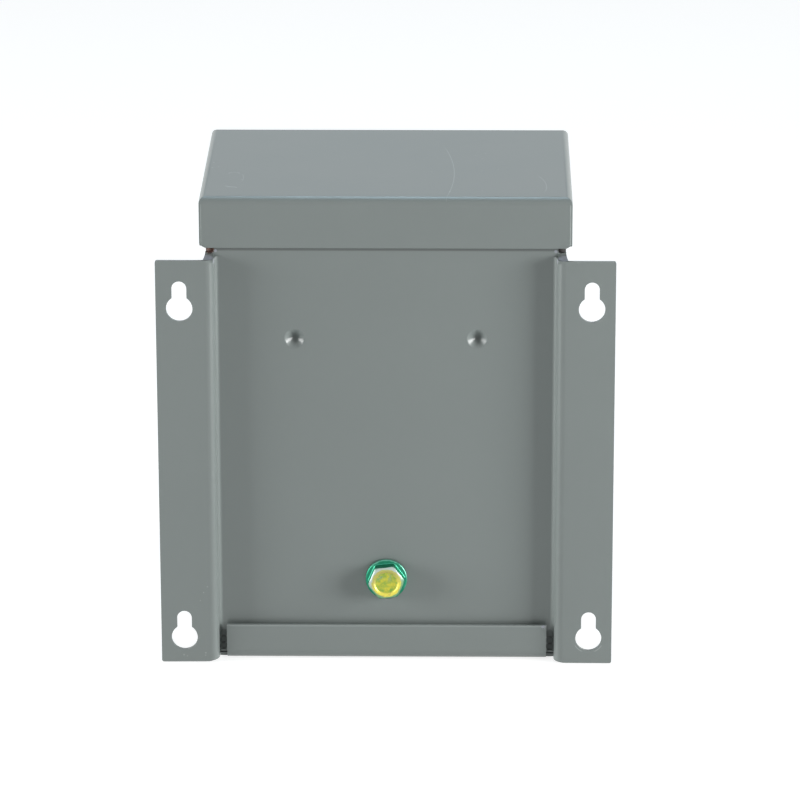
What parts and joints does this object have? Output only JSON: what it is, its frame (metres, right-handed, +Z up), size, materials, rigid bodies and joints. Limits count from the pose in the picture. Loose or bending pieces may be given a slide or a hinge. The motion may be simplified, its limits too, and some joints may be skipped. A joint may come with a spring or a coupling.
{
  "type": "wall-mounted dry-type transformer",
  "caption": "Small potted dry-type transformer in a grey rain-hooded sheet-steel case, hung on a wall by keyholed side flanges, with a lower wiring compartment",
  "frame": {"origin": "centre of the foot of the overall box; the case and its flanges stand on Z = 0", "axes": "+Z up; -Y is the front with the wiring cover; +Y is the wall side, the wall plane at Y = +53.35 mm; X runs across, +X on the left of someone who faces the back"},
  "size_m": [0.175, 0.1068, 0.187],
  "materials": {
    "grey_paint": "baked grey enamel, low satin, slight orange peel",
    "zinc_plate": "bright zinc plate, lightly worn",
    "green_dyed_zinc": "zinc plate dyed green, yellow-green on the indented top",
    "blank_aluminium": "satin, blank",
    "vulcanised_fibre": "matt",
    "black_rubber": "matt",
    "sand_filled_resin": "matt, sandy",
    "silicon_steel": "varnished laminations",
    "natural_nylon": "satin",
    "enamelled_copper": "enamelled round wire",
    "insulating_paper": "varnished paper",
    "black_lead": "satin thermoplastic insulation",
    "white_lead": "satin thermoplastic insulation",
    "green_lead": "satin thermoplastic insulation",
    "tinned_copper": "tinned"
  },
  "bodies": {
    "root": {"back_plate": "grey_paint", "case_wrap": "grey_paint", "bottom_plate": "grey_paint", "hood": "grey_paint", "wiring_cover": "grey_paint", "rating_plate": "blank_aluminium", "barrier_plate": "vulcanised_fibre", "primary_bushing": "black_rubber", "secondary_bushing": "black_rubber", "potting_compound": "sand_filled_resin", "e_laminations": "silicon_steel", "i_laminations": "silicon_steel", "coil_bobbin": "natural_nylon", "secondary_winding": "enamelled_copper", "primary_winding": "enamelled_copper", "winding_barrier": "insulating_paper", "coil_wrap": "insulating_paper", "ground_bolt": "green_dyed_zinc", "ground_lock_washer": "zinc_plate", "ground_terminal": "tinned_copper", "ground_nut": "zinc_plate", "ground_lead": "green_lead", "side_knockout_1": "grey_paint", "side_knockout_2": "grey_paint", "side_knockout_3": "grey_paint", "side_knockout_4": "grey_paint", "bottom_knockout_1": "grey_paint", "bottom_knockout_2": "grey_paint", "cover_screw_1": "zinc_plate", "cover_screw_2": "zinc_plate", "cover_screw_3": "zinc_plate", "cover_screw_4": "zinc_plate", "hood_screw_1": "zinc_plate", "hood_screw_2": "zinc_plate", "core_bolt_1": "zinc_plate", "core_bolt_2": "zinc_plate", "core_bolt_3": "zinc_plate", "core_bolt_4": "zinc_plate", "core_nut_1": "zinc_plate", "core_nut_2": "zinc_plate", "core_nut_3": "zinc_plate", "core_nut_4": "zinc_plate", "lead_h1": "black_lead", "lead_h2": "black_lead", "lead_h3": "black_lead", "lead_h4": "black_lead", "lead_x1": "white_lead", "lead_x2": "white_lead", "lead_x3": "white_lead", "lead_x4": "white_lead", "lead_h1_strand": "tinned_copper", "lead_h2_strand": "tinned_copper", "lead_h3_strand": "tinned_copper", "lead_h4_strand": "tinned_copper", "lead_x1_strand": "tinned_copper", "lead_x2_strand": "tinned_copper", "lead_x3_strand": "tinned_copper", "lead_x4_strand": "tinned_copper"}
  },
  "joints": []
}
